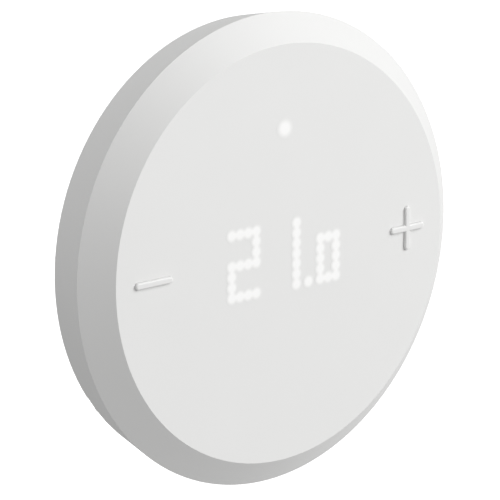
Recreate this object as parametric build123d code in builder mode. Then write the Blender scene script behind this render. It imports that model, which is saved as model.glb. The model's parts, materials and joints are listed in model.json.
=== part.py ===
"""Round wall thermostat: a chamfered front unit that plugs onto a plate screwed to the wall.

Millimetres, +Z up. The origin is on the wall, at the middle of the wall plate's back face, and
the display looks along -Y. Every height is a distance from the wall towards the room.
"""

import os
from math import atan2, cos, radians, sin, tan

from build123d import *

os.makedirs("parts", exist_ok=True)

# Outline of the front unit
overall_diameter = 100
face_diameter = 88.3
back_diameter = 95.8
front_height = 20
edge_height = 15
seam_height = 14
back_height = 4.8
back_edge_radius = 0.2

# Walls of the moulded shells
side_wall = 2.0
face_wall = 1.6
window_wall = 0.8
window_gap = 0.2
floor_wall = 1.6
recess_wall = 1.4
lip_wall = 1.2
lip_height = 12
lip_gap = 0.15
rib_wall = 1.2
rib_height = 11.5
rib_reach = 47.6

# Recess in the back, which drops over the wall plate, and its deeper pocket for the terminals
recess_diameter = 81
recess_height = 7.6
pocket_size = (42, 22)
pocket_middle = (-1, 9)
pocket_height = 11.9
pocket_wall = 1.2
pocket_corner = 2

# Main board, clamped between the posts of both shells
board_diameter = 83
board_thickness = 1.6
board_back = 13.4
screw_circle = 35
screw_count = 4
screw_angle = 45
post_radius = 3.2
boss_radius = 3.0
screw_radius = 1.1
screw_clearance = 1.35
screw_pilot = 1.15
screw_length = 9.8
screw_head_radius = 2.1
screw_head_thickness = 1.6
pilot_depth = 2.8
cross_width = 0.6
cross_depth = 0.8

# Display of separate light cells: two large digits, a point and a small digit
cell_pitch = 2.185
cell_size = 1.7
large_digit = (4, 7)
small_digit = (3, 5)
large_columns = (0, 5)
small_column = 11
point_column = 9.5
last_column = 13
display_drop = 0.2
shade_size = (33, 17.5)
shade_corner = 2
film_thickness = 0.3
led_size = (1.0, 0.6, 0.45)
status_led_size = (1.6, 0.9, 0.6)
status_rise = 26.7
status_cell_radius = 1.5
status_neck = 7

# Keys whose raised signs stand through the face
minus_middle = (-34.7, 0.1)
plus_middle = (34.2, 0.1)
sign_length = 9.5
sign_width = 1.42
sign_rise = 0.6
sign_edge_radius = 0.4
sign_gap = 0.05
key_flange_radius = 6.6
key_flange_thickness = 1.4
key_flange_gap = 0.1
key_stem_radius = 1.6
guide_gap = 0.3
guide_wall = 1.0
guide_depth = 2.4
switch_size = 4.5
switch_thickness = 1.0
switch_corner = 0.5
switch_bore_radius = 1.15
plunger_radius = 1.05
plunger_bottom = 0.4
plunger_top = 1.5

# Air notches along the lower back edge; the middle ones open into the housing under the sensor
vent_count = 23
vent_step = 5
vent_inside_radius = 43
vent_width = 3.3
vent_depth = 0.7
vent_opening = (2.2, 2.0)
vent_opening_radius = 44.4
vent_opening_count = 11
sensor_drop = 37.5
relief_offset = 4
relief_size = (1.2, 6)

# Plug contacts between the two halves
pin_count = 4
pin_pitch = 2.54
pin_width = 0.64
pin_tip = 6.4
pin_bevel = 0.16
pin_hole = 0.9
header_size = (10.2, 2.5, 2.5)
header_slot_gap = 0.4
socket_thickness = 5
socket_hole_floor = 0.8
plug_middle = (11.5, 13.5)

# Wall plate
plate_diameter = 85
plate_floor = 2.0
plate_rim_height = 4.4
spigot_diameter = 80
spigot_wall = 1.2
spigot_height = 7.0
core_groove_radius = 40.4
core_groove_width = 1.8
core_groove_height = 3.0
cable_size = (26, 18)
cable_middle = (0, -13)
cable_corner = 4
collar_wall = 1.2
wall_screw_spacing = 60
wall_slot = (8.0, 4.4)

# Grip springs, which press on the wall of the recess
spring_width = 5
spring_thickness = 0.4
spring_reach = 40.3
spring_seat_gap = 0.1
spring_knee = 4.8
spring_crown = 5.8
spring_tip = 6.8
spring_window = (4.8, 6)
spring_block = (1.4, 7, 2.2)

# Base board with the wire terminals
base_board_size = (46, 13, 1.6)
base_board_middle = (0, 13.5)
base_board_height = 3.0
base_screw_offset = 20.5
base_post_radius = 2.4
base_screw_radius = 0.9
base_screw_pilot = 0.95
base_screw_hole = 1.15
base_screw_length = 3.6
base_pilot_floor = 0.8
base_screw_head = (1.9, 1.3)
terminal_count = 4
terminal_pitch = 5.08
terminal_middle = (-7.5, 13.5)
terminal_depth = 8.2
terminal_thickness = 7
terminal_lead_chamfer = 1.5
wire_entry = 3.4
wire_entry_floor = 1.0
wire_entry_depth = 6.2
clamp_size = 3.2
clamp_wall = 0.5
clamp_depth = 4
terminal_well_radius = 1.75
terminal_screw_head = (1.6, 1.2)
terminal_screw_radius = 1.0
terminal_screw_shank = 1.0
terminal_slot_length = 4
slot_width = 0.5
slot_depth = 0.6

# Packages on the back of the main board: their middles, then width, depth and thickness
rear_packages = {
    "microcontroller": ([(-13, -22)], (9, 9, 1.2)),
    "led_driver": ([(12, -20)], (6, 6, 0.9)),
    "bus_transceiver": ([(31, 4)], (5, 4, 1.5)),
    "crystal": ([(-22, -20)], (3.2, 2.5, 0.8)),
    "buffer_capacitors": ([(-32, -6), (-32, 4)], (7.3, 4.3, 2.9)),
    "temperature_sensor": ([(0, -sensor_drop)], (2.5, 2.5, 0.9)),
}
package_bevel = 0.2
inductor_middle = (31, -8)
inductor_size = 6
inductor_flange = 0.7
inductor_core_radius = 2.4
inductor_thickness = 2.8

# Worked-out sizes
quarter_turn = 90
full_turn = 360
overall_radius = overall_diameter / 2
face_radius = face_diameter / 2
side_taper = (overall_radius - back_diameter / 2) / (edge_height - back_height)
chamfer_angle = atan2(front_height - edge_height, overall_radius - face_radius)
face_inside = front_height - face_wall
board_front = board_back + board_thickness
window_inside = front_height - window_wall
film_back = window_inside - film_thickness
recess_radius = recess_diameter / 2
recess_ceiling = recess_height + recess_wall
rib_root = recess_radius + floor_wall / 2
pocket_ceiling = pocket_height + pocket_wall
spigot_radius = spigot_diameter / 2
base_board_front = base_board_height + base_board_size[2]
terminal_width = terminal_count * terminal_pitch
key_flange_top = face_inside - key_flange_gap
key_flange_bottom = key_flange_top - key_flange_thickness
guide_radius = key_flange_radius + guide_gap
wire_entry_top = base_board_front + wire_entry_floor + wire_entry
clamp_bottom = base_board_front + wire_entry_floor + (wire_entry - clamp_size) / 2
clamp_top = clamp_bottom + clamp_size
screw_turns = [radians(screw_angle + index * full_turn / screw_count) for index in range(screw_count)]
screw_points = [(screw_circle * cos(turn), screw_circle * sin(turn)) for turn in screw_turns]
wall_screw_reach = wall_screw_spacing / 2
spring_leg = spigot_radius - spigot_wall - spring_seat_gap - spring_thickness
spring_block_middle = spring_leg - spring_block[0] / 2

# Radial section: local x is the radius and local y is the height
section = Plane(origin=(0, 0, 0), x_dir=(1, 0, 0), z_dir=(0, 0, -1))


def level(height):
    """Plane parallel to the wall that faces the room: local x is X and local y is Z."""
    return Plane.XZ.offset(height)


def side_radius(height):
    """Outer radius of the tapered side wall."""
    return overall_radius - (edge_height - height) * side_taper


def lip_radius(height):
    """Outer radius of the front cover's lip, which follows the inside of the side wall."""
    return side_radius(height) - side_wall - lip_gap


def chamfer_inside_radius(height):
    """Inner radius under the chamfer, one wall thickness below its surface."""
    shift = (front_height - height) / tan(chamfer_angle) - side_wall / sin(chamfer_angle)
    return face_radius + shift


def chamfer_inside_height(radius):
    """Height of the surface under the chamfer at a radius."""
    reach = radius - face_radius + side_wall / sin(chamfer_angle)
    return front_height - reach * tan(chamfer_angle)


def cell_point(column, row):
    """Middle of a display cell, counted from the top left one."""
    across = (column - last_column / 2) * cell_pitch
    up = (large_digit[1] // 2 - row) * cell_pitch
    return (across, up - display_drop)


def digit_cells(size, first_column):
    """Cells of one digit: its outline and its middle bar, with its foot on the last row."""
    columns, rows = size
    top = large_digit[1] - rows
    return [
        cell_point(first_column + column, top + row)
        for column in range(columns)
        for row in range(rows)
        if column in (0, columns - 1) or row in (0, rows // 2, rows - 1)
    ]


def pole_points(count, pitch, middle):
    """Points of a row along X around its middle."""
    first = middle[0] - (count - 1) * pitch / 2
    return [(first + index * pitch, middle[1]) for index in range(count)]


def save(piece, label):
    """Names a finished piece and writes it."""
    piece.part.label = label
    export_step(piece.part, f"parts/{label}.step")


def sign_outline(arms, gap=0.0):
    """Rounded bars of a minus, or of a plus with two arms, around the current location."""
    for arm in range(arms):
        SlotOverall(sign_length + 2 * gap, sign_width + 2 * gap, rotation=quarter_turn * arm)


def shade_outline(gap=0.0):
    """Display block with a neck that reaches up to the status light."""
    neck_top = status_rise + status_neck / 2 + gap
    RectangleRounded(shade_size[0] + 2 * gap, shade_size[1] + 2 * gap, shade_corner + gap)
    with Locations((0, neck_top / 2)):
        RectangleRounded(status_neck + 2 * gap, neck_top, shade_corner + gap)


def vent_places(radius, count):
    """Places along the lower back edge, one vent step apart and even about straight down."""
    spread = vent_step * (count - 1)
    first = -quarter_turn - spread / 2
    return PolarLocations(radius, count, start_angle=first, angular_range=spread, endpoint=True)


display_cells = [
    *digit_cells(large_digit, large_columns[0]),
    *digit_cells(large_digit, large_columns[1]),
    *digit_cells(small_digit, small_column),
    cell_point(point_column, large_digit[1] - 1),
]
pin_points = pole_points(pin_count, pin_pitch, plug_middle)
terminal_points = pole_points(terminal_count, terminal_pitch, terminal_middle)
base_screw_points = [(-base_screw_offset, base_board_middle[1]), (base_screw_offset, base_board_middle[1])]

# Front cover: flat face and chamfer in one moulding, thinned where the display shines through,
# with a lip that drops into the housing
lip_inside = lip_radius(lip_height) - lip_wall
with BuildPart() as front_cover:
    with BuildSketch(section):
        with BuildLine():
            Polyline(
                (0, front_height),
                (face_radius, front_height),
                (overall_radius, edge_height),
                (side_radius(seam_height), seam_height),
                (lip_radius(seam_height), seam_height),
                (lip_radius(lip_height), lip_height),
                (lip_inside, lip_height),
                (lip_inside, chamfer_inside_height(lip_inside)),
                (chamfer_inside_radius(face_inside), face_inside),
                (0, face_inside),
                close=True,
            )
        make_face()
    revolve(axis=Axis.Y)
    with BuildSketch(level(board_front)):
        with Locations(*screw_points):
            Circle(boss_radius)
    extrude(amount=face_inside - board_front)
    with BuildSketch(level(board_front)):
        with Locations(*screw_points):
            Circle(screw_pilot)
    extrude(amount=pilot_depth, mode=Mode.SUBTRACT)
    with BuildSketch(level(face_inside - guide_depth)):
        with Locations(minus_middle, plus_middle):
            Circle(guide_radius + guide_wall)
            Circle(guide_radius, mode=Mode.SUBTRACT)
    extrude(amount=guide_depth)
    with BuildSketch(level(face_inside)):
        shade_outline(window_gap)
    extrude(amount=face_wall - window_wall, mode=Mode.SUBTRACT)
    with BuildSketch(level(face_inside)):
        with Locations(minus_middle):
            sign_outline(1, sign_gap)
        with Locations(plus_middle):
            sign_outline(2, sign_gap)
    extrude(amount=face_wall, mode=Mode.SUBTRACT)
save(front_cover, "front_cover")

# Rear housing: tapered side wall, back floor and the recess that takes the wall plate
with BuildPart() as rear_housing:
    with BuildSketch(section):
        with BuildLine():
            Polyline(
                (side_radius(seam_height), seam_height),
                (side_radius(back_height), back_height),
                (recess_radius, back_height),
                (recess_radius, recess_height),
                (0, recess_height),
                (0, recess_ceiling),
                (recess_radius + floor_wall, recess_ceiling),
                (recess_radius + floor_wall, back_height + floor_wall),
                (side_radius(back_height + floor_wall) - side_wall, back_height + floor_wall),
                (side_radius(seam_height) - side_wall, seam_height),
                close=True,
            )
        make_face()
    revolve(axis=Axis.Y)
    back_circles = edges().filter_by(GeomType.CIRCLE).group_by(Axis.Y)[-1]
    fillet(back_circles.sort_by(SortBy.RADIUS)[-1], back_edge_radius)
    with BuildSketch(level(recess_ceiling)):
        with Locations(*screw_points):
            Circle(post_radius)
    extrude(amount=board_back - recess_ceiling)
    with BuildSketch(level(back_height + floor_wall)):
        with PolarLocations((rib_reach + rib_root) / 2, screw_count, start_angle=screw_angle):
            Rectangle(rib_reach - rib_root, rib_wall)
    extrude(amount=rib_height - back_height - floor_wall)
    with BuildSketch(level(recess_ceiling)):
        with PolarLocations((rib_reach + screw_circle) / 2, screw_count, start_angle=screw_angle):
            Rectangle(rib_reach - screw_circle, rib_wall)
    extrude(amount=rib_height - recess_ceiling)
    with BuildSketch(level(recess_height)):
        with Locations(pocket_middle):
            RectangleRounded(
                pocket_size[0] + 2 * pocket_wall,
                pocket_size[1] + 2 * pocket_wall,
                pocket_corner + pocket_wall,
            )
    extrude(amount=pocket_ceiling - recess_height)
    with BuildSketch(level(recess_height)):
        with Locations(pocket_middle):
            RectangleRounded(*pocket_size, pocket_corner)
    extrude(amount=pocket_height - recess_height, mode=Mode.SUBTRACT)
    with BuildSketch(level(pocket_height)):
        with Locations(plug_middle):
            Rectangle(header_size[0] + 2 * header_slot_gap, header_size[1] + 2 * header_slot_gap)
    extrude(amount=pocket_wall, mode=Mode.SUBTRACT)
    with BuildSketch(level(recess_height)):
        with Locations(*screw_points):
            Circle(screw_clearance)
    extrude(amount=board_back - recess_height, mode=Mode.SUBTRACT)
    with BuildSketch(level(back_height)):
        with vent_places((vent_inside_radius + overall_radius) / 2, vent_count):
            Rectangle(overall_radius - vent_inside_radius, vent_width)
    extrude(amount=vent_depth, mode=Mode.SUBTRACT)
    with BuildSketch(level(back_height)):
        with vent_places(vent_opening_radius, vent_opening_count):
            Rectangle(*vent_opening)
    extrude(amount=floor_wall, mode=Mode.SUBTRACT)
save(rear_housing, "rear_housing")

# Housing screws: they run through the housing posts and the board into the cover's bosses
with BuildPart() as housing_screws:
    with BuildSketch(level(recess_height - screw_head_thickness)):
        with Locations(*screw_points):
            Circle(screw_head_radius)
    extrude(amount=screw_head_thickness)
    with BuildSketch(level(recess_height)):
        with Locations(*screw_points):
            Circle(screw_radius)
    extrude(amount=screw_length)
    with BuildSketch(level(recess_height - screw_head_thickness)):
        with Locations(*screw_points):
            Rectangle(2 * screw_head_radius - cross_width, cross_width)
            Rectangle(cross_width, 2 * screw_head_radius - cross_width)
    extrude(amount=cross_depth, mode=Mode.SUBTRACT)
save(housing_screws, "housing_screws")

# Main board, with two relief slots that keep its heat from the temperature sensor
with BuildPart() as main_board:
    with BuildSketch(level(board_back)):
        Circle(board_diameter / 2)
        with Locations(*screw_points):
            Circle(screw_clearance, mode=Mode.SUBTRACT)
        with Locations((-relief_offset, -sensor_drop), (relief_offset, -sensor_drop)):
            SlotOverall(relief_size[1], relief_size[0], rotation=quarter_turn, mode=Mode.SUBTRACT)
    extrude(amount=board_thickness)
save(main_board, "main_board")

# Light shade: one walled cell for each light of the display and one for the status light
with BuildPart() as light_shade:
    with BuildSketch(level(board_front)):
        shade_outline()
        with Locations(*display_cells):
            Rectangle(cell_size, cell_size, mode=Mode.SUBTRACT)
        with Locations((0, status_rise)):
            Circle(status_cell_radius, mode=Mode.SUBTRACT)
    extrude(amount=film_back - board_front)
save(light_shade, "light_shade")

# Diffuser film between the shade and the face
with BuildPart() as diffuser_film:
    with BuildSketch(level(film_back)):
        shade_outline()
    extrude(amount=film_thickness)
save(diffuser_film, "diffuser_film")

# Display lights, one at the foot of each cell
with BuildPart() as display_leds:
    with BuildSketch(level(board_front)):
        with Locations(*display_cells):
            Rectangle(led_size[0], led_size[1])
    extrude(amount=led_size[2])
save(display_leds, "display_leds")

with BuildPart() as status_led:
    with BuildSketch(level(board_front)):
        with Locations((0, status_rise)):
            Rectangle(status_led_size[0], status_led_size[1])
    extrude(amount=status_led_size[2])
save(status_led, "status_led")


def make_key(label, middle, arms):
    """Key with a raised sign, a flange behind the face and a stem that presses its switch."""
    with BuildPart() as key:
        with BuildSketch(level(key_flange_bottom)):
            with Locations(middle):
                Circle(key_flange_radius)
        extrude(amount=key_flange_thickness)
        with BuildSketch(level(key_flange_top)):
            with Locations(middle):
                sign_outline(arms)
        extrude(amount=front_height + sign_rise - key_flange_top)
        fillet(faces().sort_by(Axis.Y)[0].edges(), sign_edge_radius)
        with BuildSketch(level(board_front + plunger_top)):
            with Locations(middle):
                Circle(key_stem_radius)
        extrude(amount=key_flange_bottom - board_front - plunger_top)
    save(key, label)


def make_switch(label, middle):
    """Low push switch on the front of the main board, with a bore for its plunger."""
    with BuildPart() as switch:
        with BuildSketch(level(board_front)):
            with Locations(middle):
                Rectangle(switch_size, switch_size)
                Circle(switch_bore_radius, mode=Mode.SUBTRACT)
        extrude(amount=switch_thickness)
        chamfer(edges().filter_by(Axis.Y), switch_corner)
    save(switch, label)


def make_plunger(label, middle):
    """Plunger of a push switch, which moves with its key."""
    with BuildPart() as plunger:
        with BuildSketch(level(board_front + plunger_bottom)):
            with Locations(middle):
                Circle(plunger_radius)
        extrude(amount=plunger_top - plunger_bottom)
    save(plunger, label)


for sign, key_middle, arms in (("minus", minus_middle, 1), ("plus", plus_middle, 2)):
    make_key(f"{sign}_key", key_middle, arms)
    make_switch(f"{sign}_switch", key_middle)
    make_plunger(f"{sign}_plunger", key_middle)


def make_rear_package(label, middles, size):
    """Flat package on the back of the main board, with bevelled outer edges."""
    width, depth, thickness = size
    with BuildPart() as package:
        with BuildSketch(level(board_back - thickness)):
            with Locations(*middles):
                Rectangle(width, depth)
        extrude(amount=thickness)
        chamfer(edges().group_by(Axis.Y)[-1], package_bevel)
    save(package, label)


for label, (middles, size) in rear_packages.items():
    make_rear_package(label, middles, size)

# Power inductor: round core between two square flanges
with BuildPart() as power_inductor:
    for height in (board_back - inductor_flange, board_back - inductor_thickness):
        with BuildSketch(level(height)):
            with Locations(inductor_middle):
                RectangleRounded(inductor_size, inductor_size, inductor_flange)
        extrude(amount=inductor_flange)
    with BuildSketch(level(board_back - inductor_thickness)):
        with Locations(inductor_middle):
            Circle(inductor_core_radius)
    extrude(amount=inductor_thickness)
save(power_inductor, "power_inductor")

# Plug of the front unit: a header body with square pins that reach into the wall plate's socket
with BuildPart() as header_body:
    with BuildSketch(level(board_back - header_size[2])):
        with Locations(plug_middle):
            Rectangle(header_size[0], header_size[1])
        with Locations(*pin_points):
            Rectangle(pin_width, pin_width, mode=Mode.SUBTRACT)
    extrude(amount=header_size[2])
save(header_body, "header_body")

with BuildPart() as header_pins:
    with BuildSketch(level(pin_tip)):
        with Locations(*pin_points):
            Rectangle(pin_width, pin_width)
    extrude(amount=board_back - pin_tip)
    chamfer(edges().group_by(Axis.Y)[-1], pin_bevel)
save(header_pins, "header_pins")

# Wall plate: dished floor, stepped rim and a spigot that guides the front unit
with BuildPart() as wall_plate:
    with BuildSketch(section):
        with BuildLine():
            Polyline(
                (0, 0),
                (plate_diameter / 2, 0),
                (plate_diameter / 2, plate_rim_height),
                (spigot_radius, plate_rim_height),
                (spigot_radius, spigot_height),
                (spigot_radius - spigot_wall, spigot_height),
                (spigot_radius - spigot_wall, plate_floor),
                (0, plate_floor),
                close=True,
            )
        make_face()
    revolve(axis=Axis.Y)
    with BuildSketch(level(0)):
        Circle(core_groove_radius + core_groove_width / 2)
        Circle(core_groove_radius - core_groove_width / 2, mode=Mode.SUBTRACT)
    extrude(amount=core_groove_height, mode=Mode.SUBTRACT)
    with BuildSketch(level(plate_floor)):
        with Locations(cable_middle):
            RectangleRounded(cable_size[0] + 2 * collar_wall, cable_size[1] + 2 * collar_wall, cable_corner)
        with Locations(*base_screw_points):
            Circle(base_post_radius)
    extrude(amount=base_board_height - plate_floor)
    with BuildSketch(level(plate_floor)):
        with Locations((-spring_block_middle, 0), (spring_block_middle, 0)):
            Rectangle(spring_block[0], spring_block[1])
    extrude(amount=spring_block[2])
    with BuildSketch(level(plate_rim_height)):
        with Locations((-spigot_radius, 0), (spigot_radius, 0)):
            Rectangle(*spring_window)
    extrude(amount=spigot_height - plate_rim_height, mode=Mode.SUBTRACT)
    with BuildSketch(level(0)):
        with Locations(cable_middle):
            RectangleRounded(*cable_size, cable_corner)
        with Locations((-wall_screw_reach, 0), (wall_screw_reach, 0)):
            SlotOverall(*wall_slot)
        with Locations((0, -wall_screw_reach), (0, wall_screw_reach)):
            SlotOverall(*wall_slot, rotation=quarter_turn)
    extrude(amount=base_board_height, mode=Mode.SUBTRACT)
    with BuildSketch(level(base_pilot_floor)):
        with Locations(*base_screw_points):
            Circle(base_screw_pilot)
    extrude(amount=base_board_height - base_pilot_floor, mode=Mode.SUBTRACT)
save(wall_plate, "wall_plate")

# Grip springs: bent strips that stand in the plate and reach out through the spigot's windows
with BuildPart() as grip_springs:
    with BuildSketch(section):
        with BuildLine():
            Polyline(
                (spring_leg, plate_floor),
                (spring_leg, spring_knee),
                (spring_reach - spring_thickness, spring_crown),
                (spring_leg, spring_tip),
            )
            offset(amount=spring_thickness, side=Side.RIGHT)
        make_face()
    extrude(amount=spring_width / 2, both=True)
    mirror(about=Plane.YZ)
save(grip_springs, "grip_springs")

# Base board and its screws
with BuildPart() as base_board:
    with BuildSketch(level(base_board_height)):
        with Locations(base_board_middle):
            Rectangle(base_board_size[0], base_board_size[1])
        with Locations(*base_screw_points):
            Circle(base_screw_hole, mode=Mode.SUBTRACT)
    extrude(amount=base_board_size[2])
save(base_board, "base_board")

with BuildPart() as base_board_screws:
    with BuildSketch(level(base_board_front)):
        with Locations(*base_screw_points):
            Circle(base_screw_head[0])
    extrude(amount=base_screw_head[1])
    with BuildSketch(level(base_board_front - base_screw_length)):
        with Locations(*base_screw_points):
            Circle(base_screw_radius)
    extrude(amount=base_screw_length)
    with BuildSketch(level(base_board_front + base_screw_head[1])):
        with Locations(*base_screw_points):
            Rectangle(2 * base_screw_head[0] - slot_width, slot_width)
            Rectangle(slot_width, 2 * base_screw_head[0] - slot_width)
    extrude(amount=-slot_depth, mode=Mode.SUBTRACT)
save(base_board_screws, "base_board_screws")

# Terminal block: screw wells face the room and the wires enter from below
with BuildPart() as terminal_block:
    with BuildSketch(level(base_board_front)):
        with Locations(terminal_middle):
            Rectangle(terminal_width, terminal_depth)
    extrude(amount=terminal_thickness)
    chamfer(edges().filter_by(Axis.X).group_by(Axis.Y)[0].sort_by(Axis.Z)[0], terminal_lead_chamfer)
    with BuildSketch(Plane.XY.offset(terminal_middle[1] - terminal_depth / 2)):
        with Locations(*[(x, -(wire_entry_top - wire_entry / 2)) for x, z in terminal_points]):
            Rectangle(wire_entry, wire_entry)
    extrude(amount=wire_entry_depth, mode=Mode.SUBTRACT)
    with BuildSketch(level(base_board_front + terminal_thickness)):
        with Locations(*terminal_points):
            Circle(terminal_well_radius)
    extrude(amount=wire_entry_top - base_board_front - terminal_thickness, mode=Mode.SUBTRACT)
save(terminal_block, "terminal_block")

with BuildPart() as terminal_clamps:
    with BuildSketch(Plane.XY.offset(terminal_middle[1] - clamp_depth / 2)):
        with Locations(*[(x, -(clamp_bottom + clamp_size / 2)) for x, z in terminal_points]):
            Rectangle(clamp_size, clamp_size)
            Rectangle(clamp_size - 2 * clamp_wall, clamp_size - 2 * clamp_wall, mode=Mode.SUBTRACT)
    extrude(amount=clamp_depth)
save(terminal_clamps, "terminal_clamps")

with BuildPart() as terminal_screws:
    with BuildSketch(level(clamp_top)):
        with Locations(*terminal_points):
            Circle(terminal_screw_radius)
    extrude(amount=terminal_screw_shank)
    with BuildSketch(level(clamp_top + terminal_screw_shank)):
        with Locations(*terminal_points):
            Circle(terminal_screw_head[0])
    extrude(amount=terminal_screw_head[1])
    with BuildSketch(level(clamp_top + terminal_screw_shank + terminal_screw_head[1])):
        with Locations(*terminal_points):
            Rectangle(terminal_slot_length, slot_width)
    extrude(amount=-slot_depth, mode=Mode.SUBTRACT)
save(terminal_screws, "terminal_screws")

# Socket of the wall plate, with clearance round each pin
with BuildPart() as pin_socket:
    with BuildSketch(level(base_board_front)):
        with Locations(plug_middle):
            Rectangle(header_size[0], header_size[1])
    extrude(amount=socket_thickness)
    with BuildSketch(level(base_board_front + socket_hole_floor)):
        with Locations(*pin_points):
            Rectangle(pin_hole, pin_hole)
    extrude(amount=socket_thickness - socket_hole_floor, mode=Mode.SUBTRACT)
save(pin_socket, "pin_socket")
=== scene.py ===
import json
from collections import namedtuple
from math import cos, hypot, pi, radians, sin

import bmesh
import bpy
from mathutils import Matrix, Vector


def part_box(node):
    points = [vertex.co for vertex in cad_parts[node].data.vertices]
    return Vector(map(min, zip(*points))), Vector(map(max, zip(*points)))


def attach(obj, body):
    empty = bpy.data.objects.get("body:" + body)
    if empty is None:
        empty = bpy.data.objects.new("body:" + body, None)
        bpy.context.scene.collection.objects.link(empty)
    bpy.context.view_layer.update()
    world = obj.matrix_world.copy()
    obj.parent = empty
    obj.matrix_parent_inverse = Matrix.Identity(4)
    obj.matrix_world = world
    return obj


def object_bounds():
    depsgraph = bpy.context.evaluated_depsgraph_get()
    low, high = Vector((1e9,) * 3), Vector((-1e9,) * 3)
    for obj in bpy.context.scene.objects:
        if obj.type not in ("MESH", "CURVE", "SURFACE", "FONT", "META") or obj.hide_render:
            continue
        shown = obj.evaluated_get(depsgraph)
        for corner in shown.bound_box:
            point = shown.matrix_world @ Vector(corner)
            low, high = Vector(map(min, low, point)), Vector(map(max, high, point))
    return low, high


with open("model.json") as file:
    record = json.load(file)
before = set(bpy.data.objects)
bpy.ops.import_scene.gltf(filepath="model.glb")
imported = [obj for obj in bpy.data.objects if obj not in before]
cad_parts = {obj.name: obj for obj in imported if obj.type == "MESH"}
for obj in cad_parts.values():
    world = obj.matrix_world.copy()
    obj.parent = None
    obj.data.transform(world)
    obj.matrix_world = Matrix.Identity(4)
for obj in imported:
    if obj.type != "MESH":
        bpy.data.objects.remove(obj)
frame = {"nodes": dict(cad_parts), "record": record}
cad_low, cad_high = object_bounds()

nodes = frame["nodes"]
node_slots = {part["node"]: part["material_slot"] for part in frame["record"]["subparts"]}
face_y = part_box("front_cover")[0].y
face_middle = Vector((0.0, face_y, 0.0))
upwards = Vector((0.0, 0.0, 1.0))

# Camera: lengths in metres, angles in degrees, counted from the middle of the face
image_size = 500
sensor_width = 36.0
focal_pixels = 3276.0
camera_azimuth = -40.39
camera_elevation = 14.68
camera_distance = 0.6746
camera_near = 0.01
face_right_of_centre = 0.00715
face_above_centre = -0.00103

# Display: the pitch of its cells, and which of them are lit
cell_pitch = 0.002185
last_column = 13
last_row = 6
display_drop = 0.0002
digit_two = ("####", "...#", "...#", "####", "#...", "#...", "####")
digit_one = ("#",) * 7
digit_zero = ("###", "#.#", "#.#", "#.#", "###")
point = ("#",)
shown_digits = ((digit_two, 0, 0), (digit_one, 8, 0), (point, 9.5, 6), (digit_zero, 11, 2))

# Light through the cover: full within the core of a dot and none beyond its reach
Dot = namedtuple("Dot", "x z core reach")
dot_core = 0.0006
dot_reach = 0.0016
status_core = 0.0008
status_reach = 0.0023
status_rise = 0.0267
dot_glow = 0.162
tile_rings = 8
tile_segments = 24
tile_rise = 0.00002
tile_sink = 0.00005

# Plastics: base colour, roughness and how far the tint drifts, as a share
white = (0.84, 0.84, 0.832)
plastics = {
    "white_plastic": (white, 0.55, 0.01),
    "plate_plastic": ((0.78, 0.78, 0.77), 0.6, 0.01),
    "shade_plastic": ((0.76, 0.76, 0.75), 0.6, 0.01),
    "film": ((0.85, 0.85, 0.85), 0.4, 0.01),
    "led": ((0.92, 0.88, 0.62), 0.3, 0.01),
    "chip": ((0.02, 0.02, 0.022), 0.55, 0.2),
    "capacitor": ((0.55, 0.30, 0.05), 0.45, 0.05),
    "ferrite": ((0.05, 0.05, 0.055), 0.7, 0.2),
    "sensor": ((0.03, 0.03, 0.035), 0.5, 0.2),
    "switch": ((0.03, 0.03, 0.033), 0.5, 0.2),
    "plunger": ((0.70, 0.70, 0.68), 0.5, 0.01),
    "connector": ((0.02, 0.02, 0.022), 0.5, 0.2),
    "terminal": ((0.30, 0.32, 0.33), 0.45, 0.04),
}
lit_plastic = (white, 0.5, 0.01)
drift_repeats = 60.0
grain_repeats = 4000.0
grain_height = 0.00001
grain_strength = 0.3
plastic_gloss_spread = 0.06

# Metals: base colour and roughness
metals = {
    "can": ((0.62, 0.62, 0.60), 0.35),
    "brass": ((0.72, 0.52, 0.22), 0.3),
    "steel": ((0.60, 0.60, 0.60), 0.35),
    "spring_steel": ((0.68, 0.68, 0.68), 0.25),
}
cloud_repeats = 900.0
cloud_detail = 4.0
cloud_darker = 0.12
cloud_lighter = 0.08
drawn_repeats = 6000.0
drawn_stretch = 30.0
drawn_height = 0.00001
drawn_strength = 0.4
metal_gloss_spread = 0.1

# Circuit boards: a mask goes from 0 to 1 between the two values of an edge
resist_colour = (0.008, 0.085, 0.035)
track_colour = (0.02, 0.16, 0.065)
tin_colour = (0.55, 0.55, 0.52)
board_roughness = 0.35
track_pitch = 0.0008
track_height = 0.00003
track_strength = 0.5
track_edge = (0.5, 0.7)
patch_repeats = 110.0
across_edge = (0.49, 0.51)
filled_edge = (0.34, 0.36)
via_repeats = 300.0
via_edge = (0.12, 0.09)
unit_wave_pitch = 0.1 * pi

# Studio: each soft light has a direction, seen from the face, and a power in watts
pure_white = (1.0, 1.0, 1.0, 1.0)
world_level = 0.389
light_distance = 1.6
light_size = 1.2
soft_lights = {
    "key": ((0.50, -0.70, 0.51), 21.6),
    "low": ((0.0, -0.7, -0.7), 1.8),
    "low_right": ((0.87, 0.0, -0.5), 2.0),
    "upper_left": ((-0.43, 0.5, 0.75), 2.7),
    "rear": ((0.0, 1.0, 0.15), 6.0),
}
floor_drop = 1.2
floor_half = 30.0
floor_colour = (0.9, 0.9, 0.9, 1.0)
floor_roughness = 0.9
backdrop_level = 1.05


def link(obj):
    """Puts a new object into the scene."""
    bpy.context.scene.collection.objects.link(obj)
    return obj


def look_at(obj, target):
    """Turns a camera or light so that it points at the target, without leaning to a side."""
    back = (obj.location - target).normalized()
    right = upwards.cross(back).normalized()
    up = back.cross(right)
    turn = Matrix((right, up, back)).transposed().to_4x4()
    obj.matrix_world = Matrix.Translation(obj.location) @ turn


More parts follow.
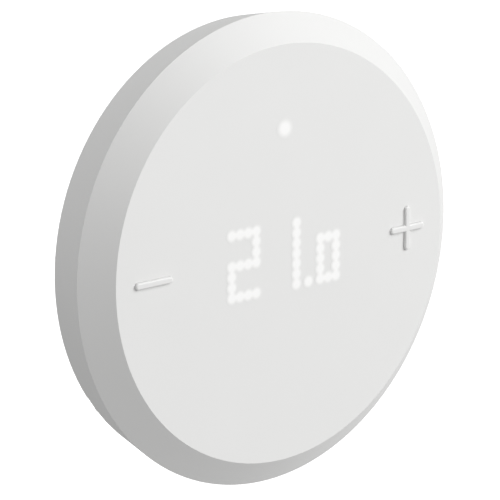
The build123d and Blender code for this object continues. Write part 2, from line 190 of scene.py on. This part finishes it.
def make_camera():
    """Camera with the photograph's angle, distance and framing."""
    azimuth = radians(camera_azimuth)
    elevation = radians(camera_elevation)
    back = Vector((sin(azimuth) * cos(elevation), -cos(azimuth) * cos(elevation), sin(elevation)))
    right = Vector((cos(azimuth), sin(azimuth), 0.0))
    up = back.cross(right)
    aim = face_middle - right * face_right_of_centre - up * face_above_centre
    data = bpy.data.cameras.new("camera")
    data.sensor_width = sensor_width
    data.lens = focal_pixels * sensor_width / image_size
    data.clip_start = camera_near
    camera = link(bpy.data.objects.new("camera", data))
    camera.location = aim + back * camera_distance
    look_at(camera, aim)
    bpy.context.scene.camera = camera


def make_world():
    """White surroundings that light the object evenly, with a brighter white behind it."""
    world = bpy.data.worlds.new("studio")
    world.use_nodes = True
    bpy.context.scene.world = world
    bpy.context.scene.view_settings.view_transform = "Standard"
    tree = world.node_tree
    surroundings = tree.nodes["Background"]
    surroundings.inputs["Color"].default_value = pure_white
    surroundings.inputs["Strength"].default_value = world_level
    backdrop = tree.nodes.new("ShaderNodeBackground")
    backdrop.inputs["Color"].default_value = pure_white
    backdrop.inputs["Strength"].default_value = backdrop_level
    rays = tree.nodes.new("ShaderNodeLightPath")
    choice = tree.nodes.new("ShaderNodeMixShader")
    tree.links.new(rays.outputs["Is Camera Ray"], choice.inputs["Fac"])
    tree.links.new(surroundings.outputs["Background"], choice.inputs[1])
    tree.links.new(backdrop.outputs["Background"], choice.inputs[2])
    tree.links.new(choice.outputs["Shader"], tree.nodes["World Output"].inputs["Surface"])


def make_lights():
    """Large soft lights round the object, all turned to the middle of its face."""
    for name, (direction, power) in soft_lights.items():
        data = bpy.data.lights.new(name, "AREA")
        data.size = light_size
        data.energy = power
        light = link(bpy.data.objects.new(name, data))
        light.location = face_middle + Vector(direction).normalized() * light_distance
        look_at(light, face_middle)


def make_floor():
    """Pale floor well below the object, which neither lights nor shades it."""
    level = cad_low.z - floor_drop
    corners = [(x * floor_half, y * floor_half, level) for x, y in ((-1, -1), (1, -1), (1, 1), (-1, 1))]
    mesh = bpy.data.meshes.new("floor")
    mesh.from_pydata(corners, [], [(0, 1, 2, 3)])
    pale, _, shader = new_material("floor")
    shader.inputs["Base Color"].default_value = floor_colour
    shader.inputs["Roughness"].default_value = floor_roughness
    shader.inputs["Emission Color"].default_value = pure_white
    shader.inputs["Emission Strength"].default_value = backdrop_level
    mesh.materials.append(pale)
    floor = link(bpy.data.objects.new("floor", mesh))
    floor.visible_diffuse = False
    floor.visible_glossy = False
    floor.visible_shadow = False


def new_material(name):
    """New node material, with its node tree and its shader."""
    material = bpy.data.materials.new(name)
    material.use_nodes = True
    return material, material.node_tree, material.node_tree.nodes["Principled BSDF"]


def object_place(tree):
    """The place of a point, in the object's own metres."""
    return tree.nodes.new("ShaderNodeTexCoord").outputs["Object"]


def add_noise(tree, repeats, detail=2.0, stretch=1.0):
    """Noise in repeats per metre, drawn out along Y by the stretch."""
    drawn = tree.nodes.new("ShaderNodeMapping")
    drawn.inputs["Scale"].default_value = (1.0, 1.0 / stretch, 1.0)
    noise = tree.nodes.new("ShaderNodeTexNoise")
    noise.inputs["Scale"].default_value = repeats
    noise.inputs["Detail"].default_value = detail
    tree.links.new(object_place(tree), drawn.inputs["Vector"])
    tree.links.new(drawn.outputs["Vector"], noise.inputs["Vector"])
    return noise.outputs["Fac"]


def add_cells(tree, repeats, metric):
    """Voronoi cells, in repeats per metre."""
    cells = tree.nodes.new("ShaderNodeTexVoronoi")
    cells.distance = metric
    cells.inputs["Scale"].default_value = repeats
    tree.links.new(object_place(tree), cells.inputs["Vector"])
    return cells


def add_bands(tree, direction, pitch):
    """Even bands across one direction, from 0 to 1. A wave texture of scale 1 has the unit pitch."""
    bands = tree.nodes.new("ShaderNodeTexWave")
    bands.bands_direction = direction
    bands.inputs["Scale"].default_value = unit_wave_pitch / pitch
    tree.links.new(object_place(tree), bands.inputs["Vector"])
    return bands.outputs["Fac"]


def add_range(tree, source, low, high):
    """Maps a 0 to 1 value onto low to high."""
    spread = tree.nodes.new("ShaderNodeMapRange")
    spread.inputs["To Min"].default_value = low
    spread.inputs["To Max"].default_value = high
    tree.links.new(source, spread.inputs["Value"])
    return spread.outputs["Result"]


def add_edge(tree, source, start, end):
    """Turns a value into a mask that goes from 0 at start to 1 at end."""
    edge = tree.nodes.new("ShaderNodeMapRange")
    edge.inputs["From Min"].default_value = start
    edge.inputs["From Max"].default_value = end
    tree.links.new(source, edge.inputs["Value"])
    return edge.outputs["Result"]


def add_mix(tree, factor, first, second):
    """Blends two colours by a value; each is plain or comes from another node."""
    mix = tree.nodes.new("ShaderNodeMix")
    mix.data_type = "RGBA"
    tree.links.new(factor, mix.inputs["Factor"])
    for name, colour in (("A", first), ("B", second)):
        if isinstance(colour, tuple):
            mix.inputs[name].default_value = (*colour, 1.0)
        else:
            tree.links.new(colour, mix.inputs[name])
    return mix.outputs["Result"]


def add_bump(tree, shader, source, height, strength):
    """Gives the shader a relief of that height in metres."""
    bump = tree.nodes.new("ShaderNodeBump")
    bump.inputs["Strength"].default_value = strength
    bump.inputs["Distance"].default_value = height
    tree.links.new(source, bump.inputs["Height"])
    tree.links.new(bump.outputs["Normal"], shader.inputs["Normal"])


def shifted(colour, share):
    """The colour made lighter or darker by a share."""
    return tuple(min(1.0, part * (1.0 + share)) for part in colour)


def make_plastic(name, colour, roughness, tint):
    """Moulded plastic: slow tint drift, uneven gloss and a fine spark-eroded grain."""
    material, tree, shader = new_material(name)
    drift = add_noise(tree, drift_repeats)
    grain = add_noise(tree, grain_repeats)
    tone = add_mix(tree, drift, shifted(colour, -tint), shifted(colour, tint))
    gloss = add_range(tree, grain, roughness - plastic_gloss_spread, roughness + plastic_gloss_spread)
    tree.links.new(tone, shader.inputs["Base Color"])
    tree.links.new(gloss, shader.inputs["Roughness"])
    add_bump(tree, shader, grain, grain_height, grain_strength)
    return material


def make_metal(name, colour, roughness):
    """Plated metal with a cloudy gloss and fine drawn lines along Y."""
    material, tree, shader = new_material(name)
    cloud = add_noise(tree, cloud_repeats, cloud_detail)
    lines = add_noise(tree, drawn_repeats, stretch=drawn_stretch)
    tone = add_mix(tree, cloud, shifted(colour, -cloud_darker), shifted(colour, cloud_lighter))
    gloss = add_range(tree, cloud, roughness - metal_gloss_spread, roughness + metal_gloss_spread)
    tree.links.new(tone, shader.inputs["Base Color"])
    tree.links.new(gloss, shader.inputs["Roughness"])
    shader.inputs["Metallic"].default_value = 1.0
    add_bump(tree, shader, lines, drawn_height, drawn_strength)
    return material


def make_board(name):
    """Circuit board: patches of tracks that run across or up under the resist, and tinned vias."""
    material, tree, shader = new_material(name)
    patches = add_cells(tree, patch_repeats, "CHEBYCHEV")
    choices = tree.nodes.new("ShaderNodeSeparateColor")
    tree.links.new(patches.outputs["Color"], choices.inputs["Color"])
    either_way = tree.nodes.new("ShaderNodeMix")
    tree.links.new(add_edge(tree, choices.outputs["Red"], *across_edge), either_way.inputs["Factor"])
    tree.links.new(add_bands(tree, "X", track_pitch), either_way.inputs["A"])
    tree.links.new(add_bands(tree, "Z", track_pitch), either_way.inputs["B"])
    tracks = tree.nodes.new("ShaderNodeMath")
    tracks.operation = "MULTIPLY"
    tree.links.new(add_edge(tree, either_way.outputs["Result"], *track_edge), tracks.inputs[0])
    tree.links.new(add_edge(tree, choices.outputs["Green"], *filled_edge), tracks.inputs[1])
    holes = add_cells(tree, via_repeats, "EUCLIDEAN")
    vias = add_edge(tree, holes.outputs["Distance"], *via_edge)
    covered = add_mix(tree, tracks.outputs["Value"], resist_colour, track_colour)
    tree.links.new(add_mix(tree, vias, covered, tin_colour), shader.inputs["Base Color"])
    shader.inputs["Roughness"].default_value = board_roughness
    add_bump(tree, shader, tracks.outputs["Value"], track_height, track_strength)
    return material


def make_light(name):
    """Cover plastic lit from behind: the glow attribute sets how much light comes through."""
    material = make_plastic(name, *lit_plastic)
    tree = material.node_tree
    shader = tree.nodes["Principled BSDF"]
    glow = tree.nodes.new("ShaderNodeAttribute")
    glow.attribute_name = "glow"
    strength = add_range(tree, glow.outputs["Fac"], 0.0, dot_glow)
    shader.inputs["Emission Color"].default_value = pure_white
    tree.links.new(strength, shader.inputs["Emission Strength"])
    return material


def finish_nodes():
    """Gives each CAD node the material of its slot."""
    materials = {slot: make_plastic(slot, *finish) for slot, finish in plastics.items()}
    materials.update({slot: make_metal(slot, *finish) for slot, finish in metals.items()})
    materials["board"] = make_board("board")
    for node, obj in nodes.items():
        obj.data.materials.clear()
        obj.data.materials.append(materials[node_slots[node]])


def soft_step(value):
    """Smooth rise from 0 to 1."""
    value = min(1.0, max(0.0, value))
    return value * value * (3.0 - 2.0 * value)


def light_level(x, z, dots):
    """Light that comes through the cover at a point, from all the dots near it."""
    level = 0.0
    for dot in dots:
        level += 1.0 - soft_step((hypot(x - dot.x, z - dot.z) - dot.core) / (dot.reach - dot.core))
    return level


def tile_limit(turn, dot, dots):
    """How far a dot's tile goes in one direction: to its own reach, or half way to a neighbour."""
    limit = dot.reach
    for other in dots:
        across = other.x - dot.x
        up = other.z - dot.z
        along = across * cos(turn) + up * sin(turn)
        if along > 0.0:
            limit = min(limit, (across * across + up * up) / (2.0 * along))
    return limit


def add_tile(mesh, layer, dot, dots):
    """Very flat closed tile on the face, in rings round its dot."""
    top = face_y - tile_rise
    turns = [2.0 * pi * step / tile_segments for step in range(tile_segments)]
    limits = [tile_limit(turn, dot, dots) for turn in turns]
    heights = [(ring / tile_rings, top) for ring in range(1, tile_rings + 1)]
    heights.append((1.0, face_y + tile_sink))
    middle = mesh.verts.new((dot.x, top, dot.z))
    middle[layer] = light_level(dot.x, dot.z, dots)
    rings = []
    for share, y in heights:
        circle = []
        for turn, limit in zip(turns, limits):
            x = dot.x + share * limit * cos(turn)
            z = dot.z + share * limit * sin(turn)
            vertex = mesh.verts.new((x, y, z))
            vertex[layer] = light_level(x, z, dots)
            circle.append(vertex)
        rings.append(circle)
    for step in range(tile_segments):
        following = (step + 1) % tile_segments
        mesh.faces.new((middle, rings[0][step], rings[0][following]))
        for inner, outer in zip(rings, rings[1:]):
            mesh.faces.new((inner[step], outer[step], outer[following], inner[following]))
    mesh.faces.new(list(reversed(rings[-1])))


def make_glow(name, dots, material):
    """One piece of lit dots that rides on the front unit."""
    mesh = bmesh.new()
    layer = mesh.verts.layers.float.new("glow")
    for dot in dots:
        add_tile(mesh, layer, dot, dots)
    bmesh.ops.recalc_face_normals(mesh, faces=mesh.faces)
    data = bpy.data.meshes.new(name)
    mesh.to_mesh(data)
    mesh.free()
    data.materials.append(material)
    piece = link(bpy.data.objects.new(name, data))
    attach(piece, "front_unit")


def lit_dots():
    """Dots of the lit cells, from the rows of each shown digit."""
    dots = []
    for rows, first_column, first_row in shown_digits:
        for row, cells in enumerate(rows):
            for column, cell in enumerate(cells):
                if cell == "#":
                    x = (first_column + column - last_column / 2) * cell_pitch
                    z = (last_row / 2 - first_row - row) * cell_pitch - display_drop
                    dots.append(Dot(x, z, dot_core, dot_reach))
    return dots


finish_nodes()
light_material = make_light("display_light")
make_glow("display_dots", lit_dots(), light_material)
make_glow("status_dot", [Dot(0.0, status_rise, status_core, status_reach)], light_material)
make_camera()
make_world()
make_lights()
make_floor()
